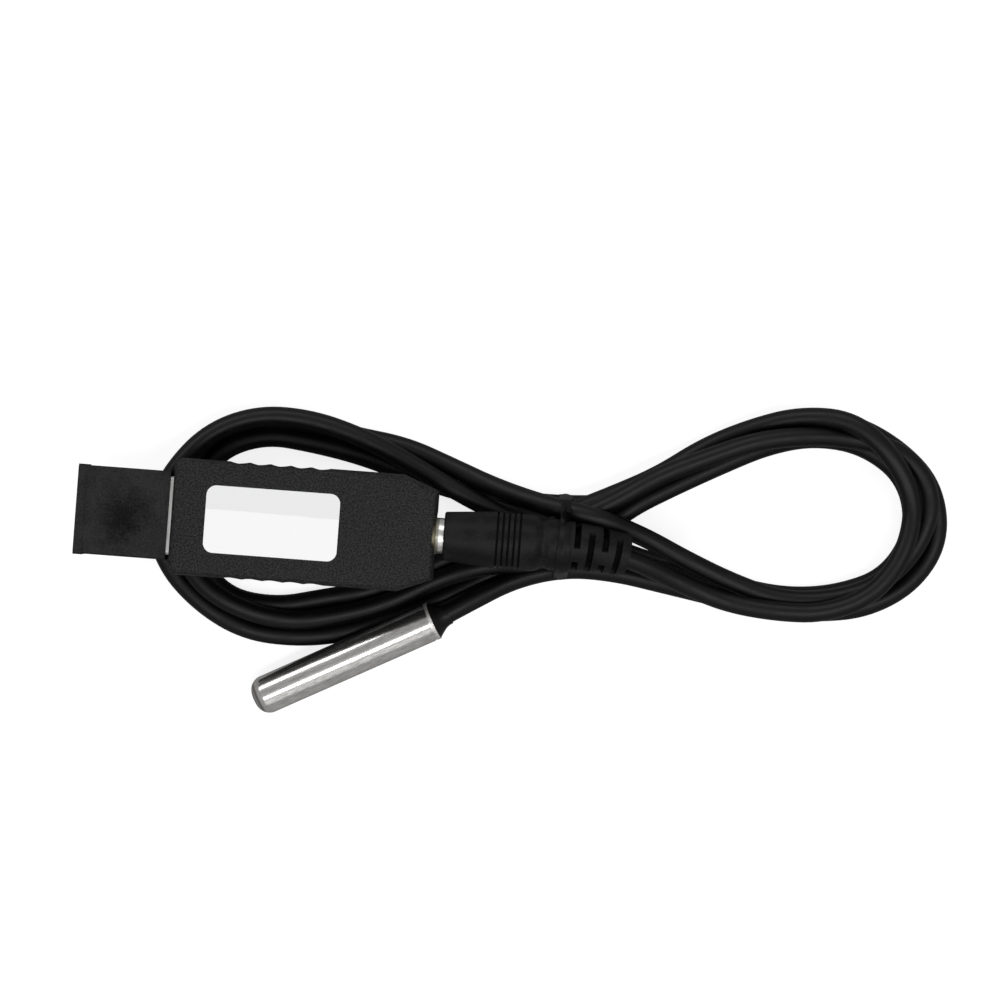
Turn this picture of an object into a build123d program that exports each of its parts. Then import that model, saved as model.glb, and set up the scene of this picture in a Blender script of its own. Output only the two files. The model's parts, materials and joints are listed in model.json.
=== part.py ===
from build123d import *

import os
from math import atan2, cos, hypot, pi, radians, sin, tan

# A USB temperature sensor: a stick adapter with a pull-off cap, a round power-style plug
# pushed into its far end, a metre of cord tied in a figure of eight, and a steel probe.
# Millimetres. +X runs along the adapter from the USB plug to the cord, +Z is up, and the
# table is z = 0. The origin is under the middle of the adapter and probe together.

# Cord and its tied figure of eight
cord_diameter = 3.0
cord_layers = 2
layer_slack = 0.1
lobe_band_width = 6.6
hank_edge_radius = 1.4
left_lobe_radius = 18.2
left_lobe_from_face = 13.4
left_lobe_side = -0.3
left_lobe_tip_from_face = 46.0
left_lobe_tip_side = 0.4
right_lobe_radius = 16.4
right_lobe_from_face = 102.4
right_lobe_side = 7.8
right_lobe_tip_from_face = 73.5
right_lobe_tip_side = 4.2
lobe_tip_radius = 1.8
cord_exit_run = 3.0
run_share = 0.45
waist_from_face = 60.5
waist_side = 0.6
waist_radius = 6.4

# Housing, in two halves that meet at mid height
housing_length = 40.7
housing_width = 18.0
housing_height = 10.0
housing_wall = 1.5
housing_roof = 1.2
housing_draft = 3.0
housing_edge_radius = 0.8
seam_edge = 0.12
housing_corner = 1.5
nose_taper_length = 5.5
nose_width = 13.6
nose_corner = 0.6
housing_rest_gap = 0.3
scallop_count = 5
scallop_pitch = 3.15
scallop_radius = 3.9
scallop_depth = 0.28
scallop_from_face = 16.1
lip_height = 0.6
lip_thickness = 0.6
lip_clearance = 0.05
fit_gap = 0.05
ring_notch_width = 3.7
ring_notch_length = 0.6
rail_width = 1.2
post_diameter = 2.0
post_from_edge = 19.0

# Blank label in its recess
label_length = 20.4
label_width = 10.3
label_corner = 1.5
label_thickness = 0.1
label_sink = 0.02
label_from_face = 15.6
label_margin = 0.05

# USB plug
shell_width = 12.0
shell_height = 4.5
shell_sheet = 0.3
shell_corner = 0.6
shell_reach = 12.0
shell_hold = 4.0
latch_window_length = 1.9
latch_window_width = 2.3
latch_window_from_tip = 5.2
latch_window_spacing = 5.4
tongue_thickness = 1.95
tongue_side_gap = 0.3
tongue_tip_gap = 0.8
tongue_block_reach = 3.0
contact_width = 1.0
contact_thickness = 0.2
contact_tip_gap = 1.0
contact_inner_spacing = 2.0
contact_outer_spacing = 7.0
contact_foot = 1.4

# Cap
cap_length = 14.1
cap_width = 12.8
cap_height = 6.3
cap_gap = 0.4
cap_fit = 0.05
cap_end_wall = 1.5
cap_edge = 0.5
cap_lip_length = 1.3
cap_lip_rise = 0.12
thumb_dish_radius = 32.0
thumb_dish_depth = 0.3
thumb_dish_from_end = 6.6

# Circuit board and what stands on it
board_width = 12.4
board_socket_gap = 0.55
board_thickness = 1.0
board_drop = 0.6
converter_chip_length = 6.4
converter_chip_width = 5.3
converter_chip_height = 1.6
converter_chip_from_face = 11.5
chip_lead_count = 8
chip_lead_pitch = 0.65
chip_lead_width = 0.3
chip_lead_reach = 1.0
chip_lead_thickness = 0.2
crystal_length = 3.2
crystal_width = 2.5
crystal_height = 0.8
crystal_corner = 0.4
crystal_from_face = 18.5
crystal_side = -3.2
chip_part_length = 1.6
chip_part_width = 0.8
chip_part_height = 0.7
chip_part_pitch = 2.2
chip_part_count = 4
chip_part_from_face = 20.8
chip_part_side = 3.6

# Round socket
socket_length = 10.4
socket_width = 9.0
socket_bore = 5.7
socket_back_wall = 2.6
socket_nose_diameter = 7.0
socket_ring_length = 1.3
socket_ring_set_back = 0.1
socket_ring_edge = 0.1
socket_pin_diameter = 2.0
socket_pin_stop = 1.2
pin_tip_round_share = 0.6
spring_width = 2.2
spring_thickness = 0.25
spring_pocket_depth = 0.65
spring_running_gap = 0.03
spring_bend_shares = (0.0, 0.4, 0.75, 1.0)
solder_tab_length = 1.4
solder_tab_width = 1.2
solder_tab_thickness = 0.4

# Round plug and its moulded grip
barrel_diameter = 5.5
barrel_wall = 0.35
barrel_insertion = 8.4
barrel_show = 1.1
barrel_root = 1.4
barrel_edge = 0.25
inner_sleeve_diameter = 3.0
inner_sleeve_bore = 2.1
inner_sleeve_set_back = 0.5
grip_front_diameter = 7.5
grip_front_edge = 0.35
grip_length = 16.6
grip_diameter = 8.7
grip_taper_length = 7.6
grip_groove_count = 5
grip_groove_pitch = 0.87
grip_groove_width = 0.36
grip_groove_depth = 0.35
grip_first_groove = 8.2
grip_waist_diameter = 7.3
grip_waist_from_front = 15.4
grip_shoulder_from_front = 13.6
relief_length = 11.7
relief_start_diameter = 8.0
relief_end_diameter = 6.4
relief_core_diameter = 3.9
relief_side_swing = 0.85
relief_drop = 1.0
relief_window_count = 4
relief_window_width = 1.0
relief_window_pitch = 2.07
relief_first_window = 3.7
relief_web = 2.2
relief_roll = 22.0
relief_section_count = 6

# Tie round the waist
tie_width = 2.2
tie_thickness = 0.6
tie_from_face = 60.0
tie_corner_radius = 1.6
tie_clearance = 0.25
tie_strand_side = 5.38
tie_strand_height = 7.72

# Probe
probe_diameter = 6.0
probe_length = 30.6
probe_wall = 0.3
probe_tip_radius = 2.2
probe_tip_from_face = 14.3
probe_tip_side = -27.65
probe_yaw = 28.2
probe_pitch = 4.4
probe_crimp_from_tail = 0.8
probe_crimp_width = 0.4
probe_crimp_depth = 0.1
boot_length = 2.6
boot_end_diameter = 3.2
boot_flare_drop = 1.6
boot_step = 0.15
sensor_chip_width = 4.6
sensor_chip_depth = 3.4
sensor_chip_length = 4.6
sensor_chip_from_tip = 1.4
sensor_lead_width = 0.45
sensor_lead_pitch = 1.27
sensor_lead_count = 3
probe_seat_clearance = 0.2

overrun = 1.0

# Places worked out from the sizes
hank_height = cord_layers * (cord_diameter + layer_slack)
adapter_z = hank_height + housing_rest_gap + housing_height / 2
probe_radius = probe_diameter / 2
pitch_cos, pitch_sin = cos(radians(probe_pitch)), sin(radians(probe_pitch))
yaw_cos, yaw_sin = cos(radians(probe_yaw)), sin(radians(probe_yaw))
tip_flat_radius = probe_radius - probe_tip_radius
probe_tip_z = tip_flat_radius * pitch_cos + probe_tip_radius * (1 - pitch_sin)
probe_reach = probe_length + boot_length
own_left = -(cap_gap + cap_length)
own_right = probe_tip_from_face + probe_reach * pitch_cos * yaw_cos + boot_end_diameter / 2 * yaw_sin
own_back = housing_width / 2
own_front = probe_tip_side - tip_flat_radius * yaw_cos - probe_tip_radius * (1 - yaw_sin)
adapter_x = -(own_left + own_right) / 2
adapter_y = -(own_back + own_front) / 2
half_height = housing_height / 2
board_top = -board_drop
board_start = shell_hold + fit_gap
socket_front = housing_length - housing_wall
socket_back = socket_front - socket_length
board_length = socket_back - board_socket_gap - board_start
bore_end = socket_back + socket_back_wall
grip_front = housing_length + barrel_show
grip_end = grip_front + grip_length
barrel_tip = housing_length - barrel_insertion
barrel_end = grip_front + barrel_root


def at(along, side=0, height=0):
    """A point of the adapter: along it from its USB face, across it, and over its axis."""
    return Vector(adapter_x + along, adapter_y + side, adapter_z + height)


def cross_plane(along):
    """A plane across the adapter, seen from the USB end's back: x across, y up."""
    return Plane(origin=at(along), x_dir=(0, 1, 0), z_dir=(1, 0, 0))


def plan_plane(height=0, up=True):
    """A level plane at a height over the adapter's axis, facing up or down."""
    return Plane(origin=at(0, 0, height), x_dir=(1, 0, 0), z_dir=(0, 0, 1 if up else -1))


side_plane = Plane(origin=at(0), x_dir=(1, 0, 0), z_dir=(0, -1, 0))
adapter_axis = Axis(at(0), (1, 0, 0))


os.makedirs("parts", exist_ok=True)


# Housing
cavity_height = half_height - housing_roof
lip_inset = housing_wall - lip_thickness
rail_top = board_top - board_thickness


def housing_outline(inset=0, corner=0):
    """The housing's plan, drawn in from its edge by inset; a corner radius rounds its ends."""
    side = housing_width / 2 - inset
    nose = nose_width / 2 - inset
    taper_start = housing_length - nose_taper_length - inset / 2
    with BuildSketch() as outline:
        with BuildLine():
            Polyline(
                (inset, -side),
                (taper_start, -side),
                (housing_length - inset, -nose),
                (housing_length - inset, nose),
                (taper_start, side),
                (inset, side),
                close=True,
            )
        make_face()
        if corner:
            fillet(outline.vertices().group_by(Axis.X)[0], corner)
            fillet(outline.vertices().group_by(Axis.X)[-1], nose_corner)
    return outline.sketch


def half_shell(up):
    """A half's shell: drafted from the seam, rounded, scooped at both grips, and hollow."""
    seam = plan_plane(0, up)
    scoop_side = housing_width / 2 - scallop_depth + scallop_radius
    with BuildPart() as half:
        with BuildSketch(seam):
            add(housing_outline(corner=housing_corner))
        extrude(amount=half_height, taper=housing_draft)
        outer = half.faces().sort_by(Axis.Z)[-1 if up else 0]
        fillet(outer.edges(), housing_edge_radius)
        with BuildSketch(seam):
            with Locations((scallop_from_face, 0)):
                with GridLocations(scallop_pitch, 2 * scoop_side, scallop_count, 2):
                    Circle(scallop_radius)
        extrude(amount=half_height, mode=Mode.SUBTRACT)
        chamfer(half.edges().group_by(Axis.Z)[0 if up else -1], seam_edge)
        with BuildSketch(seam):
            add(housing_outline(housing_wall))
        extrude(amount=cavity_height, mode=Mode.SUBTRACT)
    return half.part


# The ways of the USB shell and the socket's nose through the end walls
with BuildPart() as end_openings:
    with BuildSketch(cross_plane(-overrun)):
        RectangleRounded(shell_width + 2 * fit_gap, shell_height + 2 * fit_gap, shell_corner)
    extrude(amount=2 * overrun + housing_wall)
    with BuildSketch(cross_plane(socket_front - overrun)):
        Circle(socket_nose_diameter / 2 + fit_gap)
    extrude(amount=2 * overrun + housing_wall)

# The lower half has the rebate for the lip, and two rails that carry the board.
lower_shell = half_shell(False)
with BuildPart() as housing_bottom:
    add(lower_shell)
    with BuildSketch(plan_plane(0, False)):
        add(housing_outline(lip_inset))
    extrude(amount=lip_height, mode=Mode.SUBTRACT)
    with BuildSketch(plan_plane(-cavity_height)):
        with Locations((board_start + board_length / 2, 0)):
            with GridLocations(board_length, board_width - rail_width, 1, 2):
                Rectangle(board_length, rail_width)
    extrude(amount=rail_top + cavity_height)
    add(end_openings.part, mode=Mode.SUBTRACT)
housing_bottom.part.label = "housing_bottom"
export_step(housing_bottom.part, "parts/housing_bottom.step")

# The upper half has the lip, two posts that hold the board down, the label's recess,
# and the notch that bares the top of the socket's ring.
upper_shell = half_shell(True)
with BuildPart() as housing_top:
    add(upper_shell)
    with BuildSketch(plan_plane(lip_clearance - lip_height)):
        add(housing_outline(lip_inset + lip_clearance))
        add(housing_outline(housing_wall), mode=Mode.SUBTRACT)
    extrude(amount=lip_height)
    add(end_openings.part, mode=Mode.SUBTRACT)
    with BuildSketch(plan_plane(board_top)):
        with Locations((board_start + post_from_edge, 0)):
            with GridLocations(board_length, board_width - post_diameter, 1, 2):
                Circle(post_diameter / 2)
    extrude(amount=cavity_height - board_top)
    with BuildSketch(plan_plane(half_height - label_thickness - label_sink)):
        with Locations((label_from_face, 0)):
            RectangleRounded(
                label_length + 2 * label_margin,
                label_width + 2 * label_margin,
                label_corner + label_margin,
            )
    extrude(amount=overrun, mode=Mode.SUBTRACT)
    with BuildSketch(plan_plane()):
        with Locations((housing_length, 0)):
            Rectangle(2 * ring_notch_length, ring_notch_width)
    extrude(amount=half_height, mode=Mode.SUBTRACT)
housing_top.part.label = "housing_top"
export_step(housing_top.part, "parts/housing_top.step")

with BuildPart() as label:
    with BuildSketch(plan_plane(half_height - label_thickness - label_sink)):
        with Locations((label_from_face, 0)):
            RectangleRounded(label_length, label_width, label_corner)
    extrude(amount=label_thickness)
label.part.label = "label"
export_step(label.part, "parts/label.step")

# USB plug: a folded shell with latch windows, the block and tongue inside it, four contacts
shell_inner_width = shell_width - 2 * shell_sheet
shell_inner_height = shell_height - 2 * shell_sheet
tongue_bottom = -shell_inner_height / 2
tongue_top = tongue_bottom + tongue_thickness
with BuildPart() as usb_shell:
    with BuildSketch(cross_plane(-shell_reach)):
        RectangleRounded(shell_width, shell_height, shell_corner)
        RectangleRounded(
            shell_inner_width, shell_inner_height, shell_corner - shell_sheet, mode=Mode.SUBTRACT
        )
    extrude(amount=shell_reach + shell_hold)
    with BuildSketch(plan_plane(-shell_height)):
        with Locations((latch_window_from_tip - shell_reach, 0)):
            with GridLocations(latch_window_length, latch_window_spacing, 1, 2):
                Rectangle(latch_window_length, latch_window_width)
    extrude(amount=2 * shell_height, mode=Mode.SUBTRACT)
usb_shell.part.label = "usb_shell"
export_step(usb_shell.part, "parts/usb_shell.step")

# Each contact runs along the tongue, down behind the block and out over the board.
contact_tip = tongue_tip_gap + contact_tip_gap - shell_reach
foot_end = shell_hold + contact_foot
with BuildPart() as usb_contacts:
    for spacing in (contact_inner_spacing, contact_outer_spacing):
        for side in (-spacing / 2, spacing / 2):
            with BuildSketch(side_plane.offset(side)):
                with BuildLine():
                    Polyline(
                        (contact_tip, tongue_top),
                        (shell_hold, tongue_top),
                        (shell_hold, board_top),
                        (foot_end, board_top),
                        (foot_end, board_top + contact_thickness),
                        (shell_hold + contact_thickness, board_top + contact_thickness),
                        (shell_hold + contact_thickness, tongue_top + contact_thickness),
                        (contact_tip, tongue_top + contact_thickness),
                        close=True,
                    )
                make_face()
            extrude(amount=contact_width / 2, both=True)
usb_contacts.part.label = "usb_contacts"
export_step(usb_contacts.part, "parts/usb_contacts.step")

with BuildPart() as usb_tongue:
    with BuildSketch(cross_plane(-tongue_block_reach)):
        RectangleRounded(shell_inner_width, shell_inner_height, shell_corner - shell_sheet)
    extrude(amount=tongue_block_reach + shell_hold)
    with BuildSketch(cross_plane(tongue_tip_gap - shell_reach)):
        with Locations((0, (tongue_bottom + tongue_top) / 2)):
            Rectangle(shell_inner_width - 2 * tongue_side_gap, tongue_thickness)
    extrude(amount=shell_reach - tongue_tip_gap)
    add(usb_contacts.part, mode=Mode.SUBTRACT)
usb_tongue.part.label = "usb_tongue"
export_step(usb_tongue.part, "parts/usb_tongue.step")

# Cap: a deep cup with a lip round its closed end and a shallow thumb dish in both faces
cap_closed_end = -(cap_gap + cap_length)
with BuildPart() as cap:
    with BuildSketch(cross_plane(cap_closed_end)):
        Rectangle(cap_width, cap_height)
    extrude(amount=cap_length)
    fillet(edges().filter_by(Axis.X), cap_edge)
    with BuildSketch(cross_plane(cap_closed_end)):
        RectangleRounded(
            cap_width + 2 * cap_lip_rise, cap_height + 2 * cap_lip_rise, cap_edge + cap_lip_rise
        )
    extrude(amount=cap_lip_length)
    with BuildSketch(cross_plane(cap_closed_end + cap_end_wall)):
        RectangleRounded(
            shell_width + 2 * cap_fit, shell_height + 2 * cap_fit, shell_corner + cap_fit
        )
    extrude(amount=cap_length, mode=Mode.SUBTRACT)
    dish_height = cap_height / 2 - thumb_dish_depth + thumb_dish_radius
    for height in (-dish_height, dish_height):
        with Locations(at(cap_closed_end + thumb_dish_from_end, 0, height)):
            Sphere(thumb_dish_radius, mode=Mode.SUBTRACT)
cap.part.label = "cap"
export_step(cap.part, "parts/cap.step")

# Circuit board, its chips and parts
with BuildPart() as circuit_board:
    with BuildSketch(plan_plane(board_top)):
        with Locations((board_start + board_length / 2, 0)):
            Rectangle(board_length, board_width)
    extrude(amount=-board_thickness)
circuit_board.part.label = "circuit_board"
export_step(circuit_board.part, "parts/circuit_board.step")

with BuildPart() as converter_chip:
    chip_middle = converter_chip_from_face + converter_chip_length / 2
    with BuildSketch(plan_plane(board_top + chip_lead_thickness)):
        with Locations((chip_middle, 0)):
            Rectangle(converter_chip_length, converter_chip_width)
    extrude(amount=converter_chip_height - chip_lead_thickness)
    chamfer(faces().sort_by(Axis.Z)[-1].edges(), chip_lead_thickness)
    with BuildSketch(plan_plane(board_top)):
        with Locations((chip_middle, 0)):
            with GridLocations(chip_lead_pitch, 0, chip_lead_count, 1):
                Rectangle(chip_lead_width, converter_chip_width + 2 * chip_lead_reach)
    extrude(amount=chip_lead_thickness)
converter_chip.part.label = "converter_chip"
export_step(converter_chip.part, "parts/converter_chip.step")

with BuildPart() as crystal:
    with BuildSketch(plan_plane(board_top)):
        with Locations((crystal_from_face + crystal_length / 2, crystal_side)):
            RectangleRounded(crystal_length, crystal_width, crystal_corner)
    extrude(amount=crystal_height)
crystal.part.label = "crystal"
export_step(crystal.part, "parts/crystal.step")

with BuildPart() as chip_parts:
    with BuildSketch(plan_plane(board_top)):
        with Locations((chip_part_from_face, chip_part_side)):
            with GridLocations(chip_part_pitch, 0, chip_part_count, 1):
                Rectangle(chip_part_width, chip_part_length)
    extrude(amount=chip_part_height)
chip_parts.part.label = "chip_parts"
export_step(chip_parts.part, "parts/chip_parts.step")

# Round socket: a block with a round nose and bore, a front ring, a centre pin, a side spring
pocket_floor = -(socket_bore / 2 + spring_pocket_depth)
spring_crest = -(barrel_diameter / 2 + spring_running_gap)
nose_end = housing_length - socket_ring_set_back - socket_ring_length
with BuildPart() as socket_body:
    with BuildSketch(cross_plane(socket_back)):
        Rectangle(socket_width, 2 * (cavity_height - fit_gap))
    extrude(amount=socket_length)
    with BuildSketch(cross_plane(socket_front)):
        Circle(socket_nose_diameter / 2)
    extrude(amount=nose_end - socket_front)
    with BuildSketch(cross_plane(bore_end)):
        Circle(socket_bore / 2)
    extrude(amount=housing_length, mode=Mode.SUBTRACT)
    with BuildSketch(cross_plane(socket_back - overrun)):
        Circle(socket_pin_diameter / 2)
    extrude(amount=socket_back_wall + 2 * overrun, mode=Mode.SUBTRACT)
    with BuildSketch(side_plane):
        with Locations(((bore_end + socket_front) / 2, pocket_floor / 2)):
            Rectangle(socket_front - bore_end, -pocket_floor)
    extrude(amount=spring_width / 2 + fit_gap, both=True, mode=Mode.SUBTRACT)
socket_body.part.label = "socket_body"
export_step(socket_body.part, "parts/socket_body.step")

with BuildPart() as socket_ring:
    with BuildSketch(cross_plane(nose_end)):
        Circle(socket_nose_diameter / 2)
        Circle(socket_bore / 2, mode=Mode.SUBTRACT)
    extrude(amount=socket_ring_length)
    chamfer(edges().group_by(Axis.X)[-1], socket_ring_edge)
socket_ring.part.label = "socket_ring"
export_step(socket_ring.part, "parts/socket_ring.step")

pin_start = socket_back - solder_tab_thickness
pin_tip = nose_end - socket_pin_stop
with BuildPart() as socket_pin:
    with BuildSketch(cross_plane(pin_start)):
        Circle(socket_pin_diameter / 2)
    extrude(amount=pin_tip - pin_start)
    fillet(edges().group_by(Axis.X)[-1], socket_pin_diameter / 2 * pin_tip_round_share)
    with BuildSketch(plan_plane(board_top)):
        with Locations((socket_back - solder_tab_length / 2, 0)):
            Rectangle(solder_tab_length, solder_tab_width)
    extrude(amount=solder_tab_thickness)
socket_pin.part.label = "socket_pin"
export_step(socket_pin.part, "parts/socket_pin.step")

# The spring is a bent leaf: flat on the pocket's floor, up to the barrel, and down again.
spring_length = socket_front - bore_end - 2 * fit_gap
with BuildPart() as socket_spring:
    with BuildSketch(side_plane):
        with BuildLine():
            leaf = [
                (bore_end + fit_gap + share * spring_length, pocket_floor + fit_gap + rise)
                for share, rise in zip(
                    spring_bend_shares,
                    (0, 0, spring_crest - spring_thickness - pocket_floor - fit_gap, 0),
                )
            ]
            Polyline(*leaf, *((x, z + spring_thickness) for x, z in reversed(leaf)), close=True)
        make_face()
    extrude(amount=spring_width / 2, both=True)
socket_spring.part.label = "socket_spring"
export_step(socket_spring.part, "parts/socket_spring.step")

# Round plug: outer barrel, insulator and inner sleeve, all rooted in the moulded grip
with BuildPart() as plug_barrel:
    with BuildSketch(cross_plane(barrel_tip)):
        Circle(barrel_diameter / 2)
        Circle(barrel_diameter / 2 - barrel_wall, mode=Mode.SUBTRACT)
    extrude(amount=barrel_end - barrel_tip)
    outer_rim = edges().group_by(Axis.X)[0].sort_by(SortBy.RADIUS)[-1]
    chamfer(outer_rim, barrel_edge)
plug_barrel.part.label = "plug_barrel"
export_step(plug_barrel.part, "parts/plug_barrel.step")

with BuildPart() as plug_insulator:
    with BuildSketch(cross_plane(barrel_tip + inner_sleeve_set_back)):
        Circle(barrel_diameter / 2 - barrel_wall)
        Circle(inner_sleeve_diameter / 2, mode=Mode.SUBTRACT)
    extrude(amount=barrel_end - barrel_tip - inner_sleeve_set_back)
plug_insulator.part.label = "plug_insulator"
export_step(plug_insulator.part, "parts/plug_insulator.step")

with BuildPart() as plug_inner_sleeve:
    with BuildSketch(cross_plane(barrel_tip + 2 * inner_sleeve_set_back)):
        Circle(inner_sleeve_diameter / 2)
        Circle(inner_sleeve_bore / 2, mode=Mode.SUBTRACT)
    extrude(amount=barrel_end - barrel_tip - 2 * inner_sleeve_set_back)
plug_inner_sleeve.part.label = "plug_inner_sleeve"
export_step(plug_inner_sleeve.part, "parts/plug_inner_sleeve.step")

# The strain relief leaves the grip straight and bends down and aside with the cord.
relief_swing = hypot(relief_side_swing, relief_drop)
relief_turn = 2 * atan2(relief_swing, relief_length)
relief_radius = relief_length / relief_turn
swing_side = -relief_side_swing / relief_swing
swing_height = -relief_drop / relief_swing


def relief_plane(along):
    """The plane across the strain relief at a length along its bend from the grip's end."""
    turned = along / relief_radius
    away = relief_radius * (1 - cos(turned))
    middle = at(grip_end + relief_radius * sin(turned), away * swing_side, away * swing_height)
    ahead = Vector(cos(turned), sin(turned) * swing_side, sin(turned) * swing_height)
    return Plane(origin=middle, x_dir=ahead.cross(Vector(0, 0, 1)), z_dir=ahead)


def relief_diameter(along):
    return relief_start_diameter + (relief_end_diameter - relief_start_diameter) * along / relief_length


with BuildPart() as plug_grip:
    # The grip is turned: a cone, a rounded swelling behind the grooves, and a waist.
    with BuildSketch(side_plane):
        with BuildLine():
            front = (grip_front, grip_front_diameter / 2)
            wide = (grip_front + grip_taper_length, grip_diameter / 2)
            shoulder = (grip_front + grip_shoulder_from_front, grip_diameter / 2)
            waist = (grip_front + grip_waist_from_front, grip_waist_diameter / 2)
            back = (grip_end, relief_start_diameter / 2)
            Polyline((grip_front, 0), front, wide, shoulder)
            Spline(shoulder, waist, back, tangents=[(1, 0), (1, 0)])
            Polyline(back, (grip_end, 0), (grip_front, 0))
        make_face()
        with Locations((grip_front + grip_first_groove, grip_diameter / 2)):
            with Locations(*[(n * grip_groove_pitch, 0) for n in range(grip_groove_count)]):
                Rectangle(grip_groove_width, 2 * grip_groove_depth, mode=Mode.SUBTRACT)
    revolve(axis=adapter_axis)
    fillet(edges().group_by(Axis.X)[0], grip_front_edge)
    # The bend is lofted from round sections.
    for n in range(relief_section_count):
        along = n * relief_length / (relief_section_count - 1)
        with BuildSketch(relief_plane(along)):
            Circle(relief_diameter(along) / 2)
    loft()
    # The windows leave two webs each, turned a quarter from one to the next.
    for n in range(relief_window_count):
        along = relief_first_window + n * relief_window_pitch
        with BuildSketch(relief_plane(along)):
            Circle(relief_start_diameter)
            Circle(relief_core_diameter / 2, mode=Mode.SUBTRACT)
            quarter_turn = relief_roll + 90 * (n % 2)
            Rectangle(relief_web, 2 * relief_start_diameter, rotation=quarter_turn, mode=Mode.SUBTRACT)
        extrude(amount=relief_window_width / 2, both=True, mode=Mode.SUBTRACT)
    add(plug_barrel.part, mode=Mode.SUBTRACT)
    add(plug_insulator.part, mode=Mode.SUBTRACT)
    add(plug_inner_sleeve.part, mode=Mode.SUBTRACT)
plug_grip.part.label = "plug_grip"
export_step(plug_grip.part, "parts/plug_grip.step")

# Probe: a thin steel tube with a rounded closed end, its sensor chip, filling and boot
probe_tip = at(probe_tip_from_face, probe_tip_side, probe_tip_z - adapter_z)
probe_ahead = Vector(pitch_cos * yaw_cos, pitch_cos * yaw_sin, pitch_sin)
probe_across = Vector(yaw_sin, -yaw_cos, 0)


def probe_plane(along):
    """The plane across the probe at a length from its tip, flat side to side."""
    return Plane(origin=probe_tip + probe_ahead * along, x_dir=probe_across, z_dir=probe_ahead)


probe_axis = Axis(probe_tip, probe_ahead)
probe_side_plane = Plane(origin=probe_tip, x_dir=probe_ahead, z_dir=probe_across)
inner_radius = probe_radius - probe_wall

with BuildPart() as probe_tube:
    with BuildSketch(probe_plane(0)):
        Circle(probe_radius)
    extrude(amount=probe_length)
    fillet(edges().sort_by(probe_axis)[0], probe_tip_radius)
    offset(amount=-probe_wall, openings=faces().sort_by(probe_axis)[-1])
    with BuildSketch(probe_side_plane):
        with Locations((probe_length - probe_crimp_from_tail, probe_radius)):
            Rectangle(probe_crimp_width, 2 * probe_crimp_depth)
    revolve(axis=probe_axis, mode=Mode.SUBTRACT)
probe_tube.part.label = "probe_tube"
export_step(probe_tube.part, "parts/probe_tube.step")

# The chip is a half-round package with its flat facing up and three leads behind it.
with BuildPart() as sensor_chip:
    with BuildSketch(probe_plane(sensor_chip_from_tip)):
        Circle(sensor_chip_width / 2)
        with Locations((0, sensor_chip_width / 2)):
            Rectangle(
                sensor_chip_width, 2 * (sensor_chip_width - sensor_chip_depth), mode=Mode.SUBTRACT
            )
    extrude(amount=sensor_chip_length)
sensor_chip.part.label = "sensor_chip"
export_step(sensor_chip.part, "parts/sensor_chip.step")

chip_end = sensor_chip_from_tip + sensor_chip_length
with BuildPart() as sensor_leads:
    with BuildSketch(probe_plane(chip_end)):
        with GridLocations(sensor_lead_pitch, 0, sensor_lead_count, 1):
            Rectangle(sensor_lead_width, sensor_lead_width)
    extrude(amount=probe_length - chip_end)
sensor_leads.part.label = "sensor_leads"
export_step(sensor_leads.part, "parts/sensor_leads.step")

with BuildPart() as probe_filling:
    with BuildSketch(probe_plane(probe_wall)):
        Circle(inner_radius)
    extrude(amount=probe_length - probe_wall)
    fillet(edges().sort_by(probe_axis)[0], probe_tip_radius - probe_wall)
    add(sensor_chip.part, mode=Mode.SUBTRACT)
    add(sensor_leads.part, mode=Mode.SUBTRACT)
probe_filling.part.label = "probe_filling"
export_step(probe_filling.part, "parts/probe_filling.step")

# The boot is turned: it drops from the tube and runs out along the cord.
with BuildPart() as probe_boot:
    with BuildSketch(probe_side_plane):
        with BuildLine():
            root = (probe_length, probe_radius - boot_step)
            neck = (probe_reach, boot_end_diameter / 2)
            Spline(root, neck, tangents=[(boot_length, -boot_flare_drop), (1, 0)])
            Polyline(neck, (probe_reach, 0), (probe_length, 0), root)
        make_face()
    revolve(axis=probe_axis)
probe_boot.part.label = "probe_boot"
export_step(probe_boot.part, "parts/probe_boot.step")


# Cord
def corner_radii(points):
    """For each corner of a route, the largest radius that its two runs allow."""
    radii = []
    for before, corner, after in zip(points, points[1:], points[2:]):
        inward, outward = corner - before, after - corner
        half_turn = radians(inward.get_angle(outward)) / 2
        radii.append(run_share * min(inward.length, outward.length) / tan(half_turn))
    return radii


def lay_cord(points, name):
    """A plain tube of cord along a route of straight runs joined by tangent arcs."""
    radii = corner_radii(points)
    with BuildPart() as cord:
        with BuildLine() as route:
            FilletPolyline(*points, radius=radii)
        with BuildSketch(Plane(origin=points[0], z_dir=points[1] - points[0])):
            Circle(cord_diameter / 2)
        sweep()
    straight_volume = pi * (cord_diameter / 2) ** 2 * route.wires()[0].length
    print(name, "radii", [round(radius, 1) for radius in radii])
    print(name, "volume", round(cord.part.volume, 1), "section by length", round(straight_volume, 1))
    cord.part.label = name
    export_step(cord.part, f"parts/{name}.step")


def on_table(along, side, height):
    """A point by its place along and across the adapter and its height over the table."""
    return at(along, side, height - adapter_z)


# Out of the strain relief, down over the waist's strands and into the right lobe
relief_end = relief_plane(relief_length)
lay_cord(
    [
        relief_end.origin,
        relief_end.origin + relief_end.z_dir * cord_exit_run,
        on_table(79.8, -5.6, 8.0),
        on_table(87.2, -6.8, 6.4),
        on_table(94.0, -7.3, 4.8),
    ],
    "cord_exit",
)
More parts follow.
